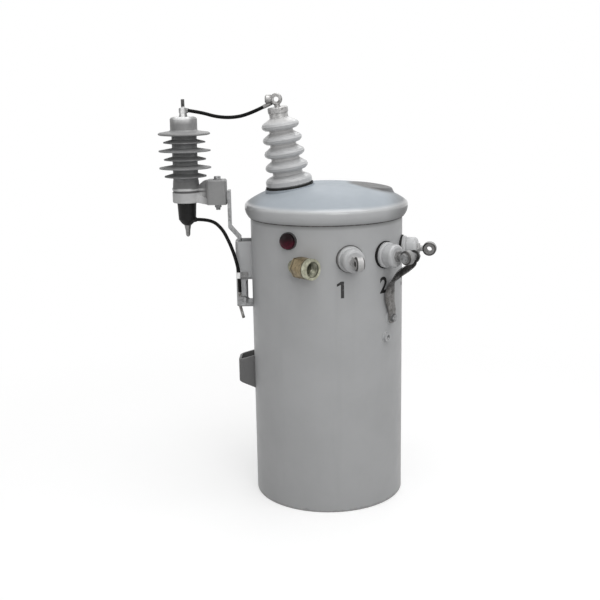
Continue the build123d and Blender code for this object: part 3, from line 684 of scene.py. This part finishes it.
def sweep(points, outline, size_at=None, closed=False):
    """An outline of (side, top) pairs carried along the points without twisting."""
    last = len(points) - 1
    verts = []
    side = None
    for i, point in enumerate(points):
        before = points[i - 1] if closed or i else points[0]
        after = points[(i + 1) % (last + 1)] if closed or i < last else points[last]
        ahead = (after - before).normalized()
        side = side or ahead.orthogonal()
        side = (side - ahead * side.dot(ahead)).normalized()
        top = ahead.cross(side)
        size = size_at(i) if size_at else 1.0
        verts += [point + (side * a + top * b) * size for a, b in outline]
    around = len(outline)
    faces = joined_rings(last + 1, around, closed)
    if not closed:
        faces += [tuple(range(around))[::-1], tuple(range(last * around, (last + 1) * around))]
    return verts, faces


HEX_SIDES = 72
HEX_CHAMFER = math.tan(math.radians(30))
HEAD_DISH = 0.0004


def hex_rings(flats, height):
    """(radius, height) pairs for each angle of a hexagon with both ends chamfered."""
    half = flats / 2
    end = half * 0.96
    rings = [[], [], [], []]
    for k in range(HEX_SIDES):
        from_flat = (2 * math.pi * k / HEX_SIDES + math.pi / 6) % (math.pi / 3) - math.pi / 6
        corner = half / math.cos(from_flat)
        drop = (corner - half) * HEX_CHAMFER
        for ring, r, z in zip(rings, (end, corner, corner, end), (0, drop, height - drop, height)):
            ring.append((r, z))
    return rings


def hex_head(name, seat, axis, finish, flats, height, bore=0.0):
    """Nut or bolt head that stands on its seat, with a bore for a nut and a shallow dish for a head."""
    axis, side, top = square_to(axis)
    inner = bore or flats * 0.3
    dip = height * 0.75 if bore else height - HEAD_DISH
    rings = [[(inner, 0.0)] * HEX_SIDES, *hex_rings(flats, height), [(inner, height)] * HEX_SIDES,
             [(inner * 0.94, dip)] * HEX_SIDES]
    verts = []
    for ring in rings:
        for k, (r, z) in enumerate(ring):
            a = 2 * math.pi * k / HEX_SIDES
            verts.append(seat + axis * z + side * (r * math.cos(a)) + top * (r * math.sin(a)))
    faces = joined_rings(len(rings), HEX_SIDES, closed=bore > 0)
    if not bore:
        faces += [tuple(range(HEX_SIDES))[::-1], tuple(range(len(verts) - HEX_SIDES, len(verts)))]
    return add_piece(name, verts, faces, finish, sharp=25)


def washer(name, seat, axis, finish, outer, thickness, inner=0.004):
    """Flat ring with chamfered outer edges."""
    axis, side, top = square_to(axis)
    sides = 64
    edge = thickness * 0.25
    outline = [(inner, 0), (outer - edge, 0), (outer, edge), (outer, thickness - edge),
               (outer - edge, thickness), (inner, thickness)]
    verts = []
    for k in range(sides):
        a = 2 * math.pi * k / sides
        out = side * math.cos(a) + top * math.sin(a)
        verts += [seat + out * r + axis * z for r, z in outline]
    add_piece(name, verts, turned(joined_rings(sides, len(outline), True)), finish)


THREAD_STEPS = 28
THREAD_SUNK = 0.00005


def thread(name, start, axis, finish, radius, length, pitch, depth):
    """Helical ridge that stands out of a stud, or into a bore where the depth is negative."""
    axis, side, top = square_to(axis)
    sunk = -math.copysign(THREAD_SUNK, depth)
    steps = int(length / pitch * THREAD_STEPS)
    verts = []
    for i in range(steps + 1):
        a = 2 * math.pi * i / THREAD_STEPS
        out = side * math.cos(a) + top * math.sin(a)
        turns = i / THREAD_STEPS
        crest = depth * min(1.0, (i + 1) / THREAD_STEPS, (steps + 1 - i) / THREAD_STEPS)
        for dr, dz in ((sunk, -0.46), (crest, -0.06), (crest, 0.06), (sunk, 0.46)):
            verts.append(start + out * (radius + dr) + axis * ((turns + dz) * pitch))
    faces = ribbon(steps)
    add_piece(name, verts, turned(faces) if depth > 0 else faces, finish, sharp=30)


# ---------------------------------------------------------------- welds, fasteners and threads

LUG_WELD_R = 0.0026
RING_WELD_R = 0.0022
RING_WELD_POINTS = 180
WELD_STEP = 0.0005
WELD_RIPPLE = 0.0024
WELD_PROUD = 0.0006
WELD_SHORT = 0.002
UPPER_WELD_FOOT = 0.520


def weld_bead(name, points, radius, finish, closed=False):
    """Rippled bead along a joint."""
    step = (points[1] - points[0]).length

    def size_at(i):
        return 0.9 + 0.1 * math.sin(2 * math.pi * i * step / WELD_RIPPLE) + 0.05 * math.sin(i * 0.11)

    verts, faces = sweep(points, circle(radius, 10), size_at, closed)
    add_piece(name, verts, faces, finish)


def lug_welds(use):
    """Fillets where the sides of each lug meet the wall."""
    for lug, finish in (("upper_hanger_lug", use["paint"]), ("lower_hanger_lug", use["dark_lug"])):
        low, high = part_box(lug)
        foot = UPPER_WELD_FOOT if lug == "upper_hanger_lug" else low[2] + WELD_SHORT
        count = int((high[2] - WELD_SHORT - foot) / WELD_STEP)
        for name, sign in (("front", -1), ("rear", 1)):
            y = sign * (high[1] + WELD_PROUD)
            x = -math.sqrt(TANK_R ** 2 - y ** 2) - WELD_PROUD
            line = [Vector((x, y, foot + i * WELD_STEP)) for i in range(count)]
            weld_bead(f"{lug}_weld_{name}", line, LUG_WELD_R, finish)


def ring_weld(node, radius, finish):
    """Fillet round a boss where it meets the wall."""
    centre = middle(node)
    azimuth = math.atan2(centre.x, -centre.y)
    ring = [on_wall(azimuth + x / TANK_R, centre.z + z) for x, z in circle(radius, RING_WELD_POINTS)]
    weld_bead(f"{node}_weld", ring, RING_WELD_R, finish, closed=True)


BRACKET_BLOCK_HEIGHT = 0.057
PAD_BOLT_LENGTH = 0.0075
TOP_NUT_HEIGHT = 0.008


def arrester_fasteners(use):
    """Head, nut and washers of the bolt through the bracket block, and the threads of two studs."""
    zinc = use["zinc"]
    centre = middle("arrester_bracket_bolt")
    head_seat = Vector((centre.x, centre.y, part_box("arrester_insulating_bracket")[1][2]))
    nut_seat = head_seat - UP * BRACKET_BLOCK_HEIGHT
    ends = (("bracket_bolt_head", "bracket_bolt_washer", head_seat, UP, 0.0012, 0.0),
            ("bracket_bolt_nut", "bracket_nut_washer", nut_seat, -UP, 0.0013, 0.0048))
    for hexagon, ring, seat, axis, lift, bore in ends:
        hex_head(hexagon, seat + axis * lift, axis, zinc, flats=0.0134, height=0.0062, bore=bore)
        washer(ring, seat, axis, zinc, outer=0.0105, thickness=0.0013)
    bolt_end = Vector((centre.x, centre.y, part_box("arrester_bracket_bolt")[0][2] + 0.0004))
    thread("bracket_bolt_thread", bolt_end, UP, zinc,
           radius=0.005, length=0.006, pitch=0.0015, depth=0.0003)
    stud_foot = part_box("arrester_terminal")[1][2] - 0.019
    thread("arrester_stud_thread", Vector((ARRESTER_X, ARRESTER_Y, stud_foot)), UP, use["clamp"],
           radius=0.0038, length=0.0182, pitch=0.00125, depth=0.0004)


def strap_fasteners(use):
    """Chamfered heads in place of the plain hexagons at both ends of the strap."""
    zinc = use["zinc"]
    pad_bolt = middle("ground_strap_bolt")
    out = outward(pad_bolt)
    seat = pad_bolt - out * (PAD_BOLT_LENGTH / 2)
    head = hex_head("strap_pad_bolt_head", seat + out * 0.0015, out, zinc, flats=0.016, height=0.006)
    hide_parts("ground_strap_bolt")
    washer("strap_pad_bolt_washer", seat, out, zinc, outer=0.0095, thickness=0.0016)
    side = round_tank(outward(middle("lv_bushing_2_porcelain")))
    seat = middle("strap_top_nut") - side * (TOP_NUT_HEIGHT / 2)
    head = hex_head("strap_top_bolt_head", seat, side, zinc, flats=0.018, height=TOP_NUT_HEIGHT)
    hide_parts("strap_top_nut")


def bore_threads(use):
    for mount, finish, slot, pitch, depth in (("fitting_mouth", "brass", "brass", 0.0022, 0.0011),
                                              ("tank_ground_tap", "zinc", "tank_paint", 0.0018, 0.0007)):
        hole = MOUNTS[mount]
        axis = Vector(hole["axis"])
        r = hole["dims"]["r_mm"] * MM
        length = hole["dims"]["length_mm"] * MM - 2 * pitch
        start = Vector(hole["pos_m"]) - axis * (length + pitch)
        thread(f"{mount}_thread", start, axis, use[finish], r, length, pitch, -depth)


# ---------------------------------------------------------------- marks

MARK_Z = 0.521
MARK_HEIGHT = 0.036
MARK_THICKNESS = 0.0003
MARK_SUNK = 0.00012
MARK_SLICE = 0.0015
MARK_CUTS = 12
MARK_BOLDER = 0.022
MARK_AZIMUTHS = {"1": 11.0, "2": 46.0, "3": 79.0}


def glyph(text):
    """Numeral in Blender's own typeface, flat and a little bolder."""
    curve = bpy.data.curves.new("glyph", "FONT")
    curve.body = text
    curve.align_x = "CENTER"
    curve.offset = MARK_BOLDER
    flat = bpy.data.objects.new("glyph", curve)
    bpy.context.scene.collection.objects.link(flat)
    mesh = bpy.data.meshes.new_from_object(flat.evaluated_get(bpy.context.evaluated_depsgraph_get()))
    bpy.data.objects.remove(flat)
    bm = bmesh.new()
    bm.from_mesh(mesh)
    bpy.data.meshes.remove(mesh)
    return bm


def numeral(text, azimuth, finish):
    """Painted numeral that lies on the wall, cut in upright slices so that it bends round it.

    The typeface's 1 is a plain bar, so it gets a flag.
    """
    bm = glyph(text)
    tall = max(v.co.y for v in bm.verts)
    if text == "1":
        left = min(v.co.x for v in bm.verts)
        flag = ((-0.001, tall), (-0.17, tall * 0.84), (-0.17, tall * 0.69), (-0.001, tall * 0.8))
        bm.faces.new([bm.verts.new((left + x, y, 0)) for x, y in flag])
    bmesh.ops.scale(bm, vec=Vector((1, 1, 1)) * (MARK_HEIGHT / tall), verts=bm.verts)
    for k in range(-MARK_CUTS, MARK_CUTS + 1):
        whole = bm.verts[:] + bm.edges[:] + bm.faces[:]
        bmesh.ops.bisect_plane(bm, geom=whole, plane_co=(k * MARK_SLICE, 0, 0), plane_no=(1, 0, 0))
    bmesh.ops.remove_doubles(bm, verts=bm.verts, dist=0.00002)
    bmesh.ops.dissolve_degenerate(bm, edges=bm.edges, dist=0.00001)
    bmesh.ops.solidify(bm, geom=bm.faces[:], thickness=MARK_THICKNESS)
    bm.verts.index_update()
    back = min(v.co.z for v in bm.verts)
    foot = MARK_Z - MARK_HEIGHT / 2
    inside = TANK_R - MARK_SUNK - back
    verts = [on_wall(azimuth + v.co.x / TANK_R, foot + v.co.y, inside + v.co.z) for v in bm.verts]
    # Sorted, because bmesh puts the cut faces in a different order each run.
    faces = sorted(tuple(v.index for v in face.verts) for face in bm.faces)
    bm.free()
    add_piece(f"mark_{text}", verts, faces, finish)


# ---------------------------------------------------------------- braided strap and bare strands

# Azimuth, distance from the axis, height, width, thickness, rise from the wall, lean and twist,
# in millimetres and degrees.
STRAP_STATIONS = [
    (53.4, 181, 449, 26, 4.2, 0, 0, 0),
    (52.8, 181, 464, 28.5, 4.4, 0, -3, 0),
    (50.5, 181.8, 484, 31.5, 4.6, 0, -4, 0),
    (49.9, 184, 508, 31, 5.4, 12, 6, 0),
    (51.4, 188.5, 528, 25.5, 8.0, 40, 14, 18),
    (53.1, 202, 545, 19, 9.5, 55, 8, 48),
    (53.1, 220, 557.5, 16, 8, 52, 0, 72),
    (52.8, 235.5, 569, 14.4, 4.8, 30, 0, 84.25),
    (52.7, 239.5, 576, 14.4, 4.2, 10, 0, 84.25),
]
CARRIERS = 14
CARRIER_TURNS = 3.0
CARRIER_STEPS = 260
CARRIER_HALF = 0.0125
CARRIER_CROWN = 0.00022
CARRIER_WEAVE = 0.00035


def strap_station(azimuth, distance, height, width, thickness, rise, lean, twist):
    """Centre, direction across, direction out of the face, half width and half thickness at a station."""
    a = math.radians(azimuth)
    out = Vector((math.sin(a), -math.cos(a), 0))
    along_wall = round_tank(out)
    lift = math.radians(rise)
    run = UP * math.cos(lift) + out * math.sin(lift)
    run = (run + along_wall * math.tan(math.radians(lean))).normalized()
    across = (along_wall - run * along_wall.dot(run)).normalized()
    across.rotate(Quaternion(run, math.radians(twist)))
    centre = out * distance * MM + UP * height * MM
    return centre, across, run.cross(across), width * MM / 2, thickness * MM / 2


def curve_through(values, t):
    """Catmull-Rom value at t, counted in stations."""
    i = min(int(t), len(values) - 2)
    t -= i
    p = [values[max(0, min(len(values) - 1, i + k))] for k in (-1, 0, 1, 2)]
    return ((p[1] * 2) + (p[2] - p[0]) * t + (p[0] * 2 - p[1] * 5 + p[2] * 4 - p[3]) * t ** 2
            + (p[1] * 3 - p[0] - p[2] * 3 + p[3]) * t ** 3) * 0.5


def on_strap(stations, round_at, along, lift):
    """Point over the strap's oval skin: round_at in turns, along from 0 to 1, lift in metres."""
    centre, across, face, half_w, half_t = (curve_through(column, along * (len(STRAP_STATIONS) - 1))
                                            for column in stations)
    across = across.normalized()
    face = (face - across * face.dot(across)).normalized()
    a = 2 * math.pi * round_at
    wide = math.copysign(abs(math.cos(a)) ** 0.75, math.cos(a))
    deep = math.copysign(abs(math.sin(a)) ** 0.6, math.sin(a))
    return centre + across * (half_w + lift * 0.5) * wide + face * (half_t + lift) * deep


def strap_braid(finish):
    """Flattened tubular braid: carriers run both ways round it and pass over and under each other."""
    stations = list(zip(*(strap_station(*row) for row in STRAP_STATIONS)))
    section = ((-1, 0.0), (-0.45, CARRIER_CROWN), (0.45, CARRIER_CROWN), (1, 0.0))
    verts, faces = [], []
    for way in (1, -1):
        for k in range(CARRIERS):
            faces += ribbon(CARRIER_STEPS, len(verts))
            for i in range(CARRIER_STEPS + 1):
                along = i / CARRIER_STEPS
                weave = CARRIER_WEAVE * way * math.cos(2 * math.pi * CARRIERS * CARRIER_TURNS * along)
                here = k / CARRIERS + way * CARRIER_TURNS * along
                for side, crown in section:
                    verts.append(on_strap(stations, here + side * CARRIER_HALF, along, weave + crown))
    add_piece("ground_strap_braid", verts, faces, finish, sharp=60)


TAIL_STRANDS = 9
TAIL_STEPS = 150
TAIL_LAY = 0.03
TAIL_BEND_Z = 0.456
TAIL_R, STRAND_R = 0.00262, 0.00092


def tail_strands(finish):
    """Strands laid round the bare tail of the ground wire."""
    end = Vector(GROUND_LEAD_POINTS[-1]) * MM
    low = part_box("ground_wire_end")[0][2]
    bend = Vector((end.x, end.y, TAIL_BEND_Z))
    tip = Vector((end.x + 0.007, end.y + 0.001, low + 0.0004))
    first = (bend - end).length
    total = first + (tip - bend).length
    for k in range(TAIL_STRANDS):
        points = []
        for i in range(TAIL_STEPS + 1):
            s = total * i / TAIL_STEPS
            a, b, t = (end, bend, s / first) if s < first else (bend, tip, (s - first) / (total - first))
            side, top = square_to(b - a)[1:]
            turn = 2 * math.pi * (k / TAIL_STRANDS + s / TAIL_LAY)
            points.append(a.lerp(b, t) + (side * math.cos(turn) + top * math.sin(turn)) * TAIL_R)
        verts, faces = sweep(points, circle(STRAND_R, 7))
        add_piece(f"ground_wire_strand_{k + 1}", verts, faces, finish)


# ---------------------------------------------------------------- leads

LEAD_D = 8 * MM

# Control points in millimetres, the same as in the CAD.
JUMPER_POINTS = [(-310, -1, 903.5), (-280, -4, 899), (-246, -11, 889),
                 (-209, -19, 886.5), (-172, -27, 893.5), (-136.5, -34.5, 910)]

GROUND_LEAD_POINTS = [(-300, -2, 655), (-267, -5, 655), (-241, -15, 635.5), (-225, -26, 607),
                      (-212.5, -34, 577), (-204, -36.5, 543), (-202.3, -36.5, 510), (-202.3, -36.5, 489)]


def insulated_lead(name, node, points_mm, jacket):
    curve = bpy.data.curves.new(name, "CURVE")
    curve.dimensions = "3D"
    spline = curve.splines.new("NURBS")
    spline.points.add(len(points_mm) - 1)
    for point, place in zip(spline.points, points_mm):
        point.co = (*(MM * c for c in place), 1.0)
    spline.order_u = 3
    spline.use_endpoint_u = True
    spline.resolution_u = 16
    curve.bevel_depth = LEAD_D / 2
    curve.bevel_resolution = 6
    curve.use_fill_caps = True
    curve.materials.append(jacket)
    lead = bpy.data.objects.new(name, curve)
    bpy.context.scene.collection.objects.link(lead)
    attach(lead, "root")
    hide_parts(node)


# ---------------------------------------------------------------- stage

CAMERA_PLACE = (0, -2.26855, 0.97533)
CAMERA_YAW, CAMERA_PITCH, CAMERA_ROLL = -0.02827, 0.2232, -0.0177
CAMERA_LENS = 59.18


def studio():
    camera = bpy.data.cameras.new("camera")
    camera.sensor_width = 36.0
    camera.lens = CAMERA_LENS
    view = bpy.data.objects.new("camera", camera)
    bpy.context.scene.collection.objects.link(view)
    level = Vector((math.sin(CAMERA_YAW), math.cos(CAMERA_YAW), 0))
    ahead = level * math.cos(CAMERA_PITCH) - UP * math.sin(CAMERA_PITCH)
    right = Vector((math.cos(CAMERA_YAW), -math.sin(CAMERA_YAW), 0))
    up = right.cross(ahead)
    c, s = math.cos(CAMERA_ROLL), math.sin(CAMERA_ROLL)
    right, up = c * right + s * up, c * up - s * right
    turn = Matrix((right, up, -ahead)).transposed().to_4x4()
    view.matrix_world = Matrix.Translation(CAMERA_PLACE) @ turn
    bpy.context.scene.camera = view


def softbox(name, place, aim_z, size, power):
    """Rectangular light of that many watts, aimed at a point on the tank's axis."""
    lamp = bpy.data.lights.new(name, "AREA")
    lamp.shape = "RECTANGLE"
    lamp.size, lamp.size_y = size
    lamp.energy = power
    box = bpy.data.objects.new(name, lamp)
    bpy.context.scene.collection.objects.link(box)
    box.location = place
    box.rotation_euler = (Vector(place) - UP * aim_z).to_track_quat("Z", "Y").to_euler()


def lights():
    softbox("top_softbox", (0.4, -0.5, 3.0), aim_z=0.5, size=(2.4, 2.4), power=52)
    softbox("front_softbox", (1.0, -3.4, 1.9), aim_z=0.5, size=(2.2, 1.6), power=36)
    softbox("side_softbox", (-3.2, -1.2, 1.6), aim_z=0.5, size=(1.6, 1.6), power=6)
    softbox("back_softbox", (0.2, 2.6, 3.0), aim_z=0.4, size=(2.0, 1.6), power=18)


def seen(nodes, links):
    """1 for rays that show a thing: from the camera, a reflection or glass."""
    path = nodes.new("ShaderNodeLightPath")
    total = path.outputs["Is Camera Ray"]
    for name in ("Is Glossy Ray", "Is Transmission Ray"):
        add = nodes.new("ShaderNodeMath")
        add.operation = "ADD"
        add.use_clamp = True
        links.new(total, add.inputs[0])
        links.new(path.outputs[name], add.inputs[1])
        total = add.outputs[0]
    return total


def backdrop():
    """White to the eye, and a dimmer white as a light."""
    world = bpy.data.worlds.new("studio")
    bpy.context.scene.world = world
    world.use_nodes = True
    nodes, links = world.node_tree.nodes, world.node_tree.links
    light = nodes["Background"]
    white = nodes.new("ShaderNodeBackground")
    for background, strength in ((light, 0.32), (white, 1.0)):
        background.inputs["Color"].default_value = (1, 1, 1, 1)
        background.inputs["Strength"].default_value = strength
    mix = nodes.new("ShaderNodeMixShader")
    links.new(seen(nodes, links), mix.inputs[0])
    links.new(light.outputs[0], mix.inputs[1])
    links.new(white.outputs[0], mix.inputs[2])
    links.new(mix.outputs[0], nodes["World Output"].inputs[0])


def floor():
    """Pale floor that glows a little and fades to the backdrop's white away from the tank."""
    half = 30.0
    corners = [(-half, -half, 0), (half, -half, 0), (half, half, 0), (-half, half, 0)]
    mesh = bpy.data.meshes.new("floor")
    mesh.from_pydata(corners, [], [(0, 1, 2, 3)])
    ground = bpy.data.objects.new("floor", mesh)
    bpy.context.scene.collection.objects.link(ground)
    t = Tree("pale_floor")
    xyz = t.split()
    t.set(Base_Color=grey(0.55), Roughness=0.9, Specular_IOR_Level=0.0)
    visible = seen(t.nodes, t.links)
    glow = t.nodes.new("ShaderNodeEmission")
    t.feed(glow.inputs["Strength"], t.calc("MULTIPLY", visible, 0.52))
    lit = t.nodes.new("ShaderNodeAddShader")
    t.feed(lit.inputs[0], t.shader.outputs[0])
    t.feed(lit.inputs[1], glow.outputs[0])
    white = t.nodes.new("ShaderNodeEmission")
    far = t.span(t.hypotenuse(xyz["X"], xyz["Y"]), 0.35, 1.5)
    mix = t.nodes.new("ShaderNodeMixShader")
    t.feed(mix.inputs[0], t.calc("MULTIPLY", far, visible))
    t.feed(mix.inputs[1], lit.outputs[0])
    t.feed(mix.inputs[2], white.outputs[0])
    t.feed(t.nodes["Material Output"].inputs["Surface"], mix.outputs[0])
    mesh.materials.append(t.material)


# ---------------------------------------------------------------- everything, in order

studio()
use = finishes()
insulated_lead("jumper_lead", "hv_jumper_lead", JUMPER_POINTS, use["jacket"])
insulated_lead("arrester_ground_lead", "ground_lead", GROUND_LEAD_POINTS, use["jacket"])
paint_cad(use)
lug_welds(use)
ring_weld("ground_boss", radius=0.0118, finish=use["paint"])
ring_weld("ground_pad", radius=0.0148, finish=use["paint"])
arrester_fasteners(use)
strap_fasteners(use)
bore_threads(use)
for text, azimuth in MARK_AZIMUTHS.items():
    numeral(text, math.radians(azimuth), use["mark"])
strap_braid(use["braid"])
tail_strands(use["wire"])
lights()
backdrop()
floor()
bpy.context.scene.view_settings.view_transform = "Standard"
